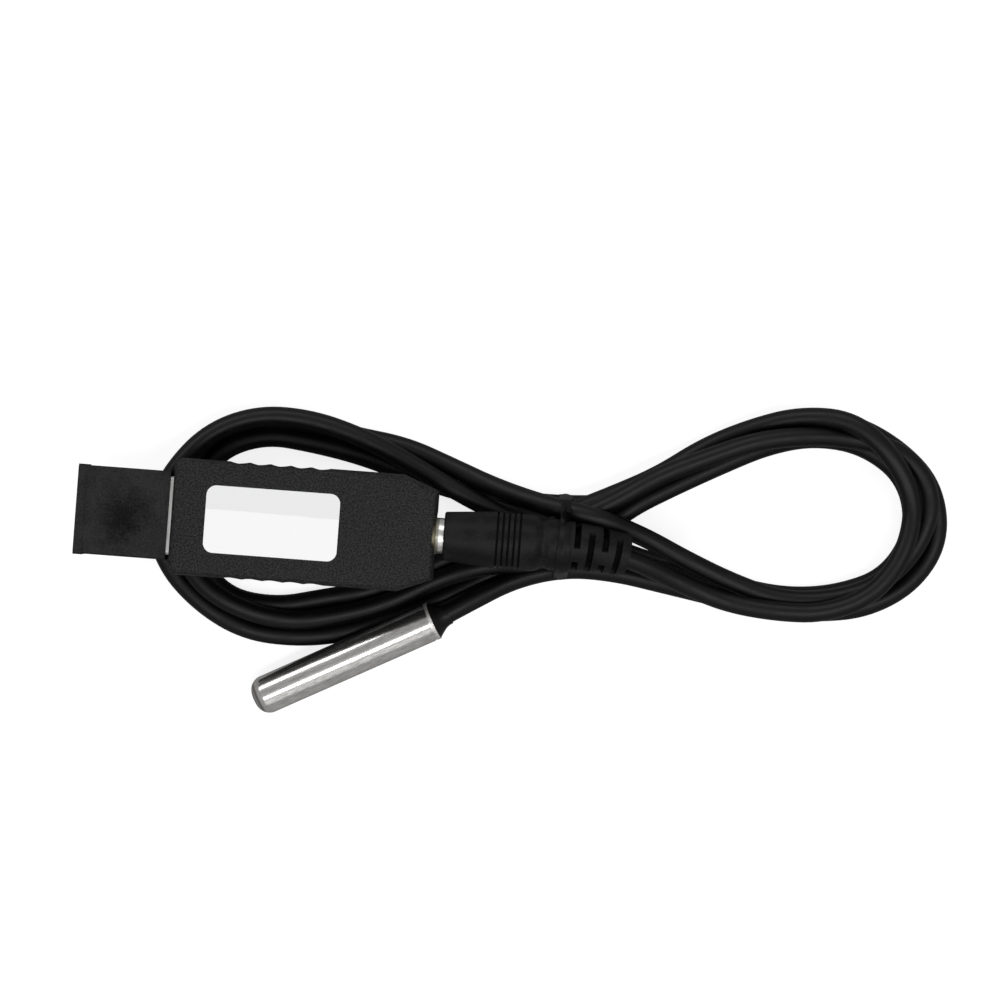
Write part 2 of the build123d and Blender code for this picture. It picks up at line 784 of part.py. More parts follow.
# The strand that rises beside the grip and passes over the others at the waist
lay_cord(
    [
        on_table(36.0, 12.7, 4.6),
        on_table(42.6, 10.7, 5.1),
        on_table(49.5, 8.2, 6.5),
        on_table(56.0, 6.2, 7.6),
        on_table(62.4, 4.9, 7.8),
        on_table(69.0, 3.2, 7.7),
        on_table(75.4, 0.7, 7.1),
        on_table(81.8, -1.9, 6.2),
        on_table(88.2, -4.0, 4.9),
    ],
    "cord_bridge",
)
# From the boot on the probe's tail up beside the waist
boot_end = probe_plane(probe_reach)
lay_cord(
    [
        boot_end.origin,
        boot_end.origin + boot_end.z_dir * cord_exit_run,
        on_table(51.8, -7.3, 5.1),
        on_table(56.4, -4.9, 4.7),
        on_table(61.0, -3.3, 4.2),
    ],
    "cord_to_probe",
)


def tie_outline(grow=0):
    """The tie's line round the waist's strands, the bridging strand and the grip."""
    low = tie_thickness + tie_corner_radius - adapter_z
    high = hank_height - tie_corner_radius - adapter_z
    reach = waist_radius - tie_corner_radius
    with BuildSketch() as line:
        with Locations((waist_side, (low + high) / 2)):
            with GridLocations(2 * reach, high - low, 2, 2):
                Circle(tie_corner_radius + grow)
        with Locations((tie_strand_side, tie_strand_height - adapter_z)):
            Circle(cord_diameter / 2 + tie_clearance + grow)
        Circle(relief_start_diameter / 2 + tie_clearance + grow)
        make_hull()
    return line.sketch


with BuildPart() as cable_tie:
    with BuildSketch(cross_plane(tie_from_face - tie_width / 2)):
        add(tie_outline(tie_thickness))
        add(tie_outline(), mode=Mode.SUBTRACT)
    extrude(amount=tie_width)
cable_tie.part.label = "cable_tie"
export_step(cable_tie.part, "parts/cable_tie.step")

# The tied figure of eight: two lobes that share the waist, open inside, rounded like cord,
# drawn in where the tie grips it and dished where the probe leans on it.
lobes = [
    (
        (left_lobe_from_face, left_lobe_side),
        left_lobe_radius,
        (left_lobe_tip_from_face, left_lobe_tip_side),
    ),
    (
        (right_lobe_from_face, right_lobe_side),
        right_lobe_radius,
        (right_lobe_tip_from_face, right_lobe_tip_side),
    ),
]


def stretched_round(middle, radius, end, end_radius):
    """The outline round two circles, each given by its place on the adapter and its radius."""
    with BuildSketch() as outline:
        for (along, side), r in ((middle, radius), (end, end_radius)):
            with Locations((adapter_x + along, adapter_y + side)):
                Circle(r)
        make_hull()
    return outline.sketch


with BuildPart() as cord_hank:
    for middle, radius, tip in lobes:
        with BuildSketch():
            add(stretched_round(middle, radius, (waist_from_face, waist_side), waist_radius))
        extrude(amount=hank_height)
    for middle, radius, tip in lobes:
        with BuildSketch():
            add(stretched_round(middle, radius - lobe_band_width, tip, lobe_tip_radius))
        extrude(amount=hank_height, mode=Mode.SUBTRACT)
    levels = edges().group_by(Axis.Z)
    fillet(levels[0] + levels[-1], hank_edge_radius)
    with BuildSketch(cross_plane(tie_from_face - tie_width / 2 - tie_clearance)):
        Rectangle(2 * housing_width, 4 * adapter_z)
        add(tie_outline(-tie_clearance), mode=Mode.SUBTRACT)
    extrude(amount=tie_width + 2 * tie_clearance, mode=Mode.SUBTRACT)
    with BuildSketch(probe_plane(-overrun)):
        Circle(probe_radius + probe_seat_clearance)
    extrude(amount=overrun + probe_reach, mode=Mode.SUBTRACT)
cord_hank.part.label = "cord_hank"
export_step(cord_hank.part, "parts/cord_hank.step")
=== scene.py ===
import json
import math

import bmesh
import bpy
from mathutils import Euler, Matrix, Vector


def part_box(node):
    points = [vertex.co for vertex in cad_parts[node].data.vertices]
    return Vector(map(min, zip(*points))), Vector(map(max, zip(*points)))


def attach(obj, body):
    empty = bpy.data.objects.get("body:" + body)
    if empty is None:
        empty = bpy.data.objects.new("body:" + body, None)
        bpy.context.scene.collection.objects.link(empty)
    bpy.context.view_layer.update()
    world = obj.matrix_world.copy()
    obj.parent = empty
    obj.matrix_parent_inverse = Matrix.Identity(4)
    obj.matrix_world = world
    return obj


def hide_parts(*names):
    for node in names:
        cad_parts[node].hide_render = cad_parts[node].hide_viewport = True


# The dressed usb temperature sensor. Everything is in metres, in the part's own frame:
# +X runs along the adapter towards the cord, +Z is up, and the table is z = 0.
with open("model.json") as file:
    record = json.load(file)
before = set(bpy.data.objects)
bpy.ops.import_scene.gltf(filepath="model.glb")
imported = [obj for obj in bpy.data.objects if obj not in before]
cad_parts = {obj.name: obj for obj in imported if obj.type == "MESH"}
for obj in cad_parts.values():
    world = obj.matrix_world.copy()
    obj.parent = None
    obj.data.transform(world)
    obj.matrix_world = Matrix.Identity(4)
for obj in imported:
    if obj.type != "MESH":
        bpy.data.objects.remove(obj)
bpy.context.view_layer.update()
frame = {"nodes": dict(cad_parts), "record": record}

MM = 0.001
HOUSING_LOW, HOUSING_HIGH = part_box("housing_top")
FACE_X = HOUSING_LOW.x
AXIS_Y = (HOUSING_LOW.y + HOUSING_HIGH.y) / 2
AXIS_Z = (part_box("housing_bottom")[0].z + HOUSING_HIGH.z) / 2


def on_table(along, side, height):
    """A point by its millimetres along and across the adapter and over the table."""
    return Vector((FACE_X + along * MM, AXIS_Y + side * MM, height * MM))


class Value:
    """A socket of a node tree that Python's operators work on."""

    def __init__(self, graph, socket):
        self.graph = graph
        self.socket = socket

    def math(self, operation, other, swapped=False):
        """A Math node on this value and another."""
        first, second = (other, self) if swapped else (self, other)
        return self.graph.node("ShaderNodeMath", {"operation": operation}, {0: first, 1: second})

    def __add__(self, other):
        return self.math("ADD", other)

    def __sub__(self, other):
        return self.math("SUBTRACT", other)

    def __rsub__(self, other):
        return self.math("SUBTRACT", other, swapped=True)

    def __mul__(self, other):
        return self.math("MULTIPLY", other)

    def __pow__(self, other):
        return self.math("POWER", other)

    __radd__ = __add__
    __rmul__ = __mul__

    def between(self, low, high):
        """0 at low, 1 at high, level beyond them and smooth between them."""
        return self.graph.node(
            "ShaderNodeMapRange",
            {"interpolation_type": "SMOOTHSTEP"},
            {"Value": self, "From Min": low, "From Max": high},
            output="Result",
        )


class Graph:
    """A node tree, with one method that makes any node of it."""

    def __init__(self, tree):
        self.tree = tree

    def node(self, kind, settings=None, inputs=None, output=0):
        """A node of a type, with its settings made first, then its sockets' values or links."""
        made = self.tree.nodes.new(kind)
        for name, setting in (settings or {}).items():
            setattr(made, name, setting)
        for name, item in (inputs or {}).items():
            self.link(made.inputs[name], item)
        return Value(self, made.outputs[output]) if made.outputs else None

    def link(self, socket, item):
        """Gives a socket a value, a colour, a link, or the links of a list that it joins."""
        if isinstance(item, list):
            for part in item:
                self.link(socket, part)
        elif isinstance(item, Value):
            self.tree.links.new(item.socket, socket)
        elif socket.type == "RGBA" and len(item) == 3:
            socket.default_value = (*item, 1)
        else:
            socket.default_value = item


class Finish(Graph):
    """A procedural material on the object's own coordinates."""

    def __init__(self, name, **sockets):
        self.material = bpy.data.materials.new(name)
        self.material.use_nodes = True
        super().__init__(self.material.node_tree)
        self.surface = self.tree.nodes["Principled BSDF"]
        self.place = self.node("ShaderNodeTexCoord", output="Object")
        self.put(**sockets)

    def put(self, **sockets):
        """Sets sockets of the surface shader; a space in a name is written as a low line."""
        for name, item in sockets.items():
            self.link(self.surface.inputs[name.replace("_", " ")], item)

    def along(self, axis, origin):
        """Millimetres from an origin along one of the part's axes."""
        place = self.node("ShaderNodeSeparateXYZ", inputs={"Vector": self.place}, output=axis)
        return place * (1 / MM) - origin / MM

    def noise(self, size, detail=2.0, stretch=None, turn=(0, 0, 0)):
        """Noise whose grains are about size millimetres, stretched along turned axes."""
        place = self.place
        if stretch:
            place = self.node(
                "ShaderNodeMapping",
                {"vector_type": "TEXTURE"},
                {"Vector": place, "Rotation": turn, "Scale": stretch},
            )
        return self.node(
            "ShaderNodeTexNoise",
            inputs={"Vector": place, "Scale": 1 / (size * MM), "Detail": detail},
            output="Fac",
        )

    def cells(self, size):
        """How far a place is from the middle of its cell, in cells about size millimetres wide."""
        return self.node(
            "ShaderNodeTexVoronoi",
            inputs={"Vector": self.place, "Scale": 1 / (size * MM)},
            output="Distance",
        )

    def mix(self, share, first, second):
        """The first colour where share is 0, the second where it is 1."""
        return self.node(
            "ShaderNodeMix", {"data_type": "RGBA"}, {0: share, 6: first, 7: second}, output=2
        )

    def relief(self, height, depth):
        """Bumps of a height from 0 to 1, depth millimetres deep."""
        bump = self.node("ShaderNodeBump", inputs={"Height": height, "Distance": depth * MM})
        self.put(Normal=bump)


def eroded_plastic():
    """The housing's plastic, from a spark-eroded mould: speckled grains over slow patches."""
    grain = 0.25
    finish = Finish("eroded_black", IOR=1.5, Specular_IOR_Level=0.16)
    grains = finish.noise(grain, 2.0)
    specks = finish.noise(grain * 0.7, 1.0).between(0.46, 0.7)
    patches = finish.noise(7.0, 2.0)
    shade = grains.between(0.37, 0.63) * 0.5 + specks * 0.4 + patches * 0.08
    finish.put(
        Base_Color=finish.mix(shade, (0.0004, 0.0004, 0.0005), (0.038, 0.038, 0.0386)),
        Roughness=grains * -0.15 + patches * 0.06 + 0.62,
    )
    finish.relief(grains + finish.cells(grain * 1.6) * 0.4, 0.035)
    return finish.material


def smooth_plastic(name, dark, light, rough):
    """Smooth moulded plastic with a faint orange peel and handling marks."""
    finish = Finish(name, IOR=1.5, Specular_IOR_Level=0.18)
    peel = finish.noise(0.9, 1.0)
    marks = finish.noise(3.0, 6.0).between(0.52, 0.72)
    finish.put(
        Base_Color=finish.mix(marks * 0.4, dark, light),
        Roughness=marks * 0.1 + finish.noise(0.25) * 0.06 + rough,
    )
    finish.relief(peel + finish.noise(0.22) * 0.2, 0.006)
    return finish.material


def grip_vinyl():
    """The moulded plug's vinyl: grainy, with painted shade darkening its grooves and windows."""
    first_groove, last_groove, groove_edge = 49.5, 54.3, 0.3
    groove_top, groove_floor = 4.3, 4.1
    relief_start, relief_length, relief_taper, side_swing = 58.4, 11.7, 0.068, 0.85
    first_window, window_edge = 58.6, 0.6
    window_top, window_floor = 3.75, 3.1
    finish = Finish("grip_vinyl", IOR=1.5, Specular_IOR_Level=0.17)
    along = finish.along("X", FACE_X)
    # The strain relief bends aside by side_swing and down by 1 mm over its length.
    bend = ((along - relief_start) * (1 / relief_length)).math("MAXIMUM", 0.0) ** 2.0
    side = finish.along("Y", AXIS_Y) + bend * side_swing
    height = finish.along("Z", AXIS_Z) + bend
    radius = (side * side + height * height) ** 0.5
    # Painted shade: the floors of the grooves and of the windows are darkened in colour, and made
    # rougher.
    grooved = along.between(first_groove, first_groove + groove_edge) * along.between(
        last_groove, last_groove - groove_edge
    )
    groove_shade = grooved * radius.between(groove_top, groove_floor)
    sunk = radius + (along - relief_start) * relief_taper
    window_shade = along.between(first_window, first_window + window_edge) * sunk.between(
        window_top, window_floor
    )
    recess_shade = groove_shade.math("MAXIMUM", window_shade)
    grains = finish.noise(0.26, 2.0).between(0.3, 0.7)
    dull = finish.noise(3.2, 3.0).between(0.4, 0.65)
    # The grooves and windows get their painted shade here.
    shade = (grains * 0.5 + dull * 0.5) * (1.0 - recess_shade)
    finish.put(
        Base_Color=finish.mix(shade, (0.0004, 0.0004, 0.0005), (0.011, 0.011, 0.0112)),
        Roughness=dull * 0.08 + grains * 0.06 + recess_shade * 0.3 + 0.46,
    )
    finish.relief(grains * 0.5 + finish.noise(0.8, 2.0), 0.014)
    return finish.material


def cap_plastic():
    """The cap's plastic: finely mottled, and darker in the dish with painted shade, where it is also
    a little smoother.
    """
    dish = on_table(-7.4, -0.7, 14.6)
    shade_edge, shade_middle = 6.4 * MM, 0.6 * MM
    finish = Finish("cap_black", IOR=1.5, Specular_IOR_Level=0.13)
    grains = finish.noise(0.3, 2.0).between(0.3, 0.7)
    clouds = finish.noise(2.2, 3.0).between(0.35, 0.65)
    from_dish = finish.node(
        "ShaderNodeVectorMath",
        {"operation": "DISTANCE"},
        {0: finish.place, 1: dish},
        output="Value",
    )
    # Painted shade: the plastic is darkened in colour in the dish.
    painted_shade = from_dish.between(shade_edge, shade_middle)
    shade = grains * 0.45 + clouds * 0.3 + 0.36 - painted_shade * 0.62
    finish.put(
        Base_Color=finish.mix(shade, (0.0002, 0.0002, 0.0003), (0.023, 0.023, 0.0233)),
        Roughness=clouds * 0.06 - painted_shade * 0.1 + 0.56,
    )
    finish.relief(grains * 0.5 + finish.noise(0.9), 0.01)
    return finish.material


def jacket(name, dark, light, rough, shine):
    """Soft vinyl: satin, a little uneven, with dull patches where it was rubbed."""
    finish = Finish(name, IOR=1.5, Specular_IOR_Level=shine)
    dull = finish.noise(4.0, 4.0).between(0.45, 0.7)
    fine = finish.noise(0.16, 2.0)
    finish.put(
        Base_Color=finish.mix(dull * 0.5 + fine * 0.5, dark, light),
        Roughness=dull * 0.1 + fine * 0.08 + rough,
    )
    finish.relief(fine * 0.5 + finish.noise(0.7, 2.0), 0.012)
    return finish.material


def metal(name, colour, tarnish, rough):
    """Metal with a fine grain and a breath of tarnish."""
    finish = Finish(name, Metallic=1.0)
    grain = finish.noise(0.05, 2.0)
    cloud = finish.noise(2.5, 4.0).between(0.4, 0.75)
    finish.put(
        Base_Color=finish.mix(cloud * 0.5 + grain * 0.2, colour, tarnish),
        Roughness=grain * 0.1 + cloud * 0.05 + rough,
    )
    finish.relief(grain, 0.0012)
    return finish.material


PROBE_TURN = (0, math.radians(-4.4), math.radians(28.2))
PROBE_AHEAD = Vector((1, 0, 0))
PROBE_AHEAD.rotate(Euler(PROBE_TURN))
PROBE_TIP = on_table(14.3, -27.65, 3.0)


def drawn_steel():
    """Drawn stainless tube: fine streaks along it, a turned end and a pale cut edge."""
    finish = Finish("drawn_steel", Metallic=1.0)
    streaks = finish.noise(0.22, 3.0, (5, 1, 1), PROBE_TURN)
    cloud = finish.noise(2.0, 4.0).between(0.4, 0.75)
    offset = finish.node(
        "ShaderNodeVectorMath", {"operation": "SUBTRACT"}, {0: finish.place, 1: PROBE_TIP}
    )
    from_tip = finish.node(
        "ShaderNodeVectorMath",
        {"operation": "DOT_PRODUCT"},
        {0: offset, 1: PROBE_AHEAD},
        output="Value",
    ) * (1 / MM)
    # The closed end is dull, but for a bright turned ring; the cut edge is rougher.
    ring = from_tip.between(0.3, 0.42) * from_tip.between(0.62, 0.5)
    dome = from_tip.between(1.15, 0.85) * (1.0 - ring * 0.6)
    lip = from_tip.between(30.0, 30.25)
    shade = streaks.between(0.3, 0.7) * 0.6 + cloud * 0.4
    clean = finish.mix(shade, (0.98, 0.965, 0.94), (0.58, 0.565, 0.545))
    finish.put(
        Base_Color=finish.mix(dome * 0.85, clean, (0.2, 0.195, 0.18)),
        Roughness=streaks * 0.1 + cloud * 0.05 + dome * 0.15 + lip * 0.35 + 0.15,
    )
    finish.relief(streaks, 0.0012)
    return finish.material


def plug_nickel():
    """The plug's barrel: bright nickel, darkened with painted shade next to the housing, where it is
    also rougher.
    """
    shade_start, shade_end = 40.95, 41.1
    finish = Finish("plug_nickel", Metallic=1.0)
    # Painted shade: the barrel is darker in colour next to the housing.
    painted_shade = finish.along("X", FACE_X).between(shade_end, shade_start)
    scratches = finish.noise(0.1, 3.0, (1, 6, 6)).between(0.35, 0.7)
    shade = painted_shade * 0.75 + scratches * 0.2
    finish.put(
        Base_Color=finish.mix(shade, (0.95, 0.94, 0.91), (0.3, 0.28, 0.22)),
        Roughness=scratches * 0.12 + painted_shade * 0.15 + 0.3,
    )
    finish.relief(scratches, 0.002)
    return finish.material


def blank_label():
    """Coated white label stock, with a painted sheen that leaves its near side brighter and its far
    side a little greyer.
    """
    sheen_edge, grey_edge = 1.55, 1.75
    finish = Finish("blank_label", IOR=1.45, Specular_IOR_Level=0.3)
    fibre = finish.noise(0.15, 4.0)
    cloud = finish.noise(5.0, 2.0)
    # Painted sheen: the near side of the label is brighter than the far side.
    painted_sheen = (finish.along("Y", AXIS_Y) + cloud * 0.5).between(grey_edge, sheen_edge)
    paper = finish.mix(painted_sheen, (0.84, 0.84, 0.848), (0.985, 0.985, 0.985))
    finish.put(
        Base_Color=finish.mix(fibre * 0.3 + cloud * 0.2, paper, (0.93, 0.93, 0.935)),
        Roughness=fibre * 0.1 + 0.4,
    )
    finish.relief(fibre, 0.003)
    return finish.material


def board_green():
    """Solder mask over glass cloth."""
    finish = Finish("solder_mask", IOR=1.5)
    weave = finish.noise(0.5, 2.0, (6, 1, 1)) * finish.noise(0.5, 2.0, (1, 6, 1))
    finish.put(
        Base_Color=finish.mix(weave.between(0.15, 0.35), (0.01, 0.1, 0.04), (0.02, 0.16, 0.07)),
        Roughness=weave * 0.2 + 0.28,
    )
    finish.relief(weave, 0.01)
    return finish.material


BLACK = (0.008, 0.008, 0.0082)
GREY_BLACK = (0.018, 0.018, 0.0185)

FINISHES = {
    "housing": eroded_plastic(),
    "cap": cap_plastic(),
    "label": blank_label(),
    "nickel": metal("bright_nickel", (0.92, 0.91, 0.88), (0.78, 0.75, 0.68), 0.4),
    "black_plastic": smooth_plastic("socket_black", BLACK, GREY_BLACK, 0.45),
    "contact_metal": metal("gold_flash", (0.85, 0.66, 0.3), (0.7, 0.5, 0.22), 0.2),
    "board": board_green(),
    "chip": smooth_plastic("package_black", BLACK, GREY_BLACK, 0.6),
    "crystal_can": metal("pressed_can", (0.7, 0.7, 0.69), (0.5, 0.5, 0.49), 0.26),
    "chip_part": smooth_plastic("fired_body", (0.3, 0.22, 0.14), (0.42, 0.33, 0.22), 0.5),
    # The ring's brass colour is darkened with painted shade, for the housing's shade over it.
    "ring_metal": metal("dull_brass", (0.24, 0.215, 0.155), (0.13, 0.115, 0.08), 0.42),
    "plug_plastic": smooth_plastic("plug_black", BLACK, GREY_BLACK, 0.4),
    "cord_jacket": jacket(
        "cord_vinyl", (0.0006, 0.0006, 0.0007), (0.0024, 0.0024, 0.0026), 0.41, 0.27
    ),
    "tie": jacket("tie_vinyl", (0.0016, 0.0016, 0.0017), (0.009, 0.009, 0.0092), 0.42, 0.17),
    "probe_steel": drawn_steel(),
    "filling": smooth_plastic("cast_resin", (0.02, 0.02, 0.022), (0.04, 0.04, 0.042), 0.35),
}
GRIP_VINYL = grip_vinyl()
PLUG_NICKEL = plug_nickel()
SHELL_SATIN = metal("satin_shell", (0.9, 0.895, 0.88), (0.76, 0.75, 0.72), 0.48)

NODE_SLOTS = {s["node"]: s["material_slot"] for s in frame["record"]["subparts"]}
NODE_BODIES = {
    node: body for body, nodes in frame["record"]["behaviour"]["bodies"].items() for node in nodes
}
SHARP_ANGLE = math.radians(28)


def new_piece(name, mesh, node, finish=None):
    """A piece at the origin that takes a solid's place, body and slot, and a finish."""
    slot = NODE_SLOTS[node]
    piece = bpy.data.objects.new(name, mesh)
    bpy.context.scene.collection.objects.link(piece)
    if not mesh.materials:
        mesh.materials.append(finish or FINISHES[slot])
    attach(piece, NODE_BODIES[node])
    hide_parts(node)


def smooth_by_angle(mesh):
    """Shades a mesh smooth, with sharp edges where faces meet at more than SHARP_ANGLE."""
    work = bmesh.new()
    work.from_mesh(mesh)
    for face in work.faces:
        face.smooth = True
    for edge in work.edges:
        edge.smooth = len(edge.link_faces) == 2 and edge.calc_face_angle(0) < SHARP_ANGLE
    work.to_mesh(mesh)
    work.free()


def skin(node, finish=None, widen=1.0):
    """A smooth-shaded copy of a solid, its triangles joined, as wide as it or wider."""
    mesh = frame["nodes"][node].data.copy()
    mesh.materials.clear()
    work = bmesh.new()
    work.from_mesh(mesh)
    bmesh.ops.remove_doubles(work, verts=work.verts, dist=0.0005 * MM)
    for corner in work.verts:
        corner.co.y = AXIS_Y + (corner.co.y - AXIS_Y) * widen
    work.to_mesh(mesh)
    work.free()
    smooth_by_angle(mesh)
    new_piece(node + "_skin", mesh, node, finish)


def look_down():
    """The photograph's view: straight down on the table, turned a little."""
    height, picture_span, sensor = 640.0, 156.25, 36.0
    middle_along, middle_side, turn = 50.01, 6.16, 4.3
    data = bpy.data.cameras.new("camera")
    data.sensor_width = sensor
    data.lens = sensor * height / picture_span
    data.clip_start = 0.05
    data.clip_end = 20
    camera = bpy.data.objects.new("camera", data)
    camera.location = on_table(middle_along, middle_side, height)
    camera.rotation_euler = (0, 0, math.radians(turn))
    bpy.context.scene.collection.objects.link(camera)
    bpy.context.scene.camera = camera


def lay_table():
    """A wide table that the camera sees as white paper, with the shadows left on it."""
    half_width, paper_glow = 3.0, 0.82
    work = bmesh.new()
    bmesh.ops.create_grid(work, x_segments=8, y_segments=8, size=half_width)
    mesh = bpy.data.meshes.new("table")
    work.to_mesh(mesh)
    work.free()
    finish = Finish("table_white", Roughness=0.9, Specular_IOR_Level=0.0, Emission_Color=(1, 1, 1))
    seen = finish.node("ShaderNodeLightPath", output="Is Camera Ray")
    finish.put(
        Base_Color=finish.mix(finish.noise(40.0), (0.33, 0.33, 0.33), (0.35, 0.35, 0.35)),
        Emission_Strength=seen * paper_glow,
    )
    mesh.materials.append(finish.material)
    table = bpy.data.objects.new("table", mesh)
    bpy.context.scene.collection.objects.link(table)


def soft_box(name, bearing, from_zenith, distance, size, glow):
    """A lamp that faces the round plug; glow is how bright its face is."""
    plug = on_table(45, 0, 0)
    turn, tilt = math.radians(bearing), math.radians(from_zenith)
    away = Vector((math.cos(turn) * math.sin(tilt), math.sin(turn) * math.sin(tilt), math.cos(tilt)))
    data = bpy.data.lights.new(name, "AREA")
    data.shape = "RECTANGLE"
    data.size, data.size_y = size
    data.energy = glow * size[0] * size[1] * math.pi
    lamp = bpy.data.objects.new(name, data)
    lamp.location = plug + away * distance
    lamp.rotation_euler = away.to_track_quat("Z", "Y").to_euler()
    bpy.context.scene.collection.objects.link(lamp)


def light_table():
    """A dim room, a strip lamp behind, a narrow one nearly overhead and a pale card in front."""
    world = bpy.data.worlds.new("room")
    bpy.context.scene.world = world
    world.use_nodes = True
    room = world.node_tree.nodes["Background"]
    room.inputs["Color"].default_value = (1, 1, 1, 1)
    room.inputs["Strength"].default_value = 0.3
    soft_box("strip", 118, 52, 0.9, (1.4, 0.2), 4.3)
    soft_box("narrow", -62, 18, 0.9, (1.4, 0.13), 7.8)
    soft_box("card", -62, 50, 1.0, (1.6, 0.5), 0.38)
    bpy.context.scene.view_settings.view_transform = "Standard"


look_down()
lay_table()
light_table()

CORD_DIAMETER = 3.0
# Millimetres along and across the adapter and over the table, from the strain relief to
# the probe: round the right loop, then three times round both loops. A program fitted
# these control points to given passes, with the strands eased apart.
CORD_ROUTE = [
    (67.4, -0.8, 10.8), (71.3, -1.5, 10.1), (78.3, -4.4, 7), (85.6, -7, 5.7), (93.6, -7.9, 6.7),
    (101.5, -7.6, 6.8), (108.9, -4, 7.6), (113.2, 2.9, 7.2), (114.1, 10.9, 6), (109.8, 17.8, 7.6),
    (103.5, 22.6, 6.9), (95.4, 22.7, 4.7), (88, 20.2, 3.1), (81, 16.7, 1.9), (74.5, 11.9, 3.2),
    (67.6, 8.3, 4.2), (60.7, 5, 5.2), (55.9, -1.7, 2.5), (49.3, -5.7, 1.55), (42.3, -9.8, 1.7),
    (35.1, -13, 1.55), (27.8, -16.3, 1.6), (19.9, -17.6, 1.6), (11.8, -17.1, 1.6),
    (4.6, -13.4, 1.7), (-1.2, -7.8, 1.55), (-3.9, 0.1, 3.2), (-0.9, 7.2, 4.7), (4.3, 13.4, 4.6),
    (11.7, 16.6, 4.6), (19.8, 16.5, 4.5), (27.6, 14.4, 4.7), (34.9, 11.2, 4.2), (42, 7.6, 4.7),
    (49.3, 4.3, 4.2), (56.6, 3.4, 1.9), (64.8, 1.2, 2), (72.3, -1.3, 1.55), (80.2, -2.7, 1.7),
    (87.9, -4.6, 1.6), (95.8, -5.6, 1.6), (103.7, -4.5, 1.6), (111.1, -1.2, 1.6), (114.9, 6.3, 1.6),
    (112.9, 14.3, 1.7), (106.1, 18.9, 1.55), (98.1, 19.7, 2.5), (90.7, 17.7, 4.6),
    (83.7, 14.1, 4.5), (76.6, 10.2, 4.6), (69.7, 6.1, 4.9), (64.1, 0.4, 4.8), (56.8, -3, 5.4),
    (48.9, -4, 4.2), (41.4, -6.7, 3.3), (34.5, -10.9, 3.6), (27, -13.5, 3), (19.1, -15.2, 3.4),
    (11.1, -13.9, 4.4), (4, -10.1, 4.3), (0.1, -2.8, 3.9), (-0.1, 5.1, 2.7), (3.5, 12.4, 1.7),
    (10.9, 16.1, 1.6), (19, 15.8, 1.6), (26.9, 14.4, 1.6), (34.9, 13.4, 1.55), (42.2, 10.7, 2.6),
    (49.3, 8, 4.7), (56.8, 6, 8.3), (64.7, 4.7, 10.7), (72.4, 2.3, 6.8), (79.5, -1, 5.8),
    (86.8, -3.9, 4.5), (94.5, -6.1, 4.5), (102.6, -5.5, 4.4), (110, -2.5, 4.6), (115.4, 3.6, 4.3),
    (117.3, 11.8, 4.4), (112.3, 18.4, 4.7), (104, 19.8, 4.2), (96.2, 19.6, 6.4), (88.5, 18.1, 7.3),
    (81.2, 14.9, 6.6), (74, 11.6, 6.6), (67.4, 7, 7), (60.5, 3.5, 7.5), (53, 0.6, 4.4),
    (45.8, -1.8, 1.9), (38.8, -5.5, 1.55), (31.9, -9.3, 1.6), (24, -11.1, 1.6), (16.3, -13.1, 1.6),
    (8, -11.9, 1.6), (2.9, -5.4, 1.6), (2, 2.6, 1.6), (5.1, 10.2, 1.6), (12.5, 13.6, 1.6),
    (20.5, 12.8, 1.6), (28.3, 11.4, 1.6), (36, 9, 1.6), (43.6, 6.9, 1.6), (51.7, 6.3, 1.55),
    (59.6, 6.1, 2.4), (67.7, 6.8, 1.55), (75.2, 9.4, 1.6), (82, 13.7, 1.6), (88.9, 17.5, 1.6),
    (95.8, 22.2, 1.6), (103.8, 22.3, 1.6), (111.3, 18.9, 1.6), (117.2, 13.5, 1.6),
    (118.9, 5.2, 1.6), (115.2, -1.9, 1.6), (108.3, -6.4, 1.6), (100.4, -7.7, 1.6),
    (92.3, -7.7, 1.6), (84.4, -6.3, 1.6), (76.5, -5, 1.55), (68.7, -3.7, 1.9), (60.9, -3.6, 2.7),
    (53.1, -5.9, 3.2), (46.4, -10, 5.6), (43.3, -12, 5.4),
]


def lay_cord():
    """The whole cord as one smooth spline through its route."""
    curve = bpy.data.curves.new("cord", "CURVE")
    curve.dimensions = "3D"
    curve.resolution_u = 8
    curve.bevel_depth = CORD_DIAMETER / 2 * MM
    curve.bevel_resolution = 6
    curve.use_fill_caps = True
    spline = curve.splines.new("NURBS")
    spline.points.add(len(CORD_ROUTE) - 1)
    for point, place in zip(spline.points, CORD_ROUTE):
        point.co = (*on_table(*place), 1)
    spline.order_u = 3
    spline.use_endpoint_u = True
    curve.materials.append(FINISHES["cord_jacket"])
    cord = bpy.data.objects.new("cord", curve)
    bpy.context.scene.collection.objects.link(cord)
    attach(cord, "lead")
    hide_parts("cord_hank", "cord_exit", "cord_bridge", "cord_to_probe")
    return cord


cord = lay_cord()


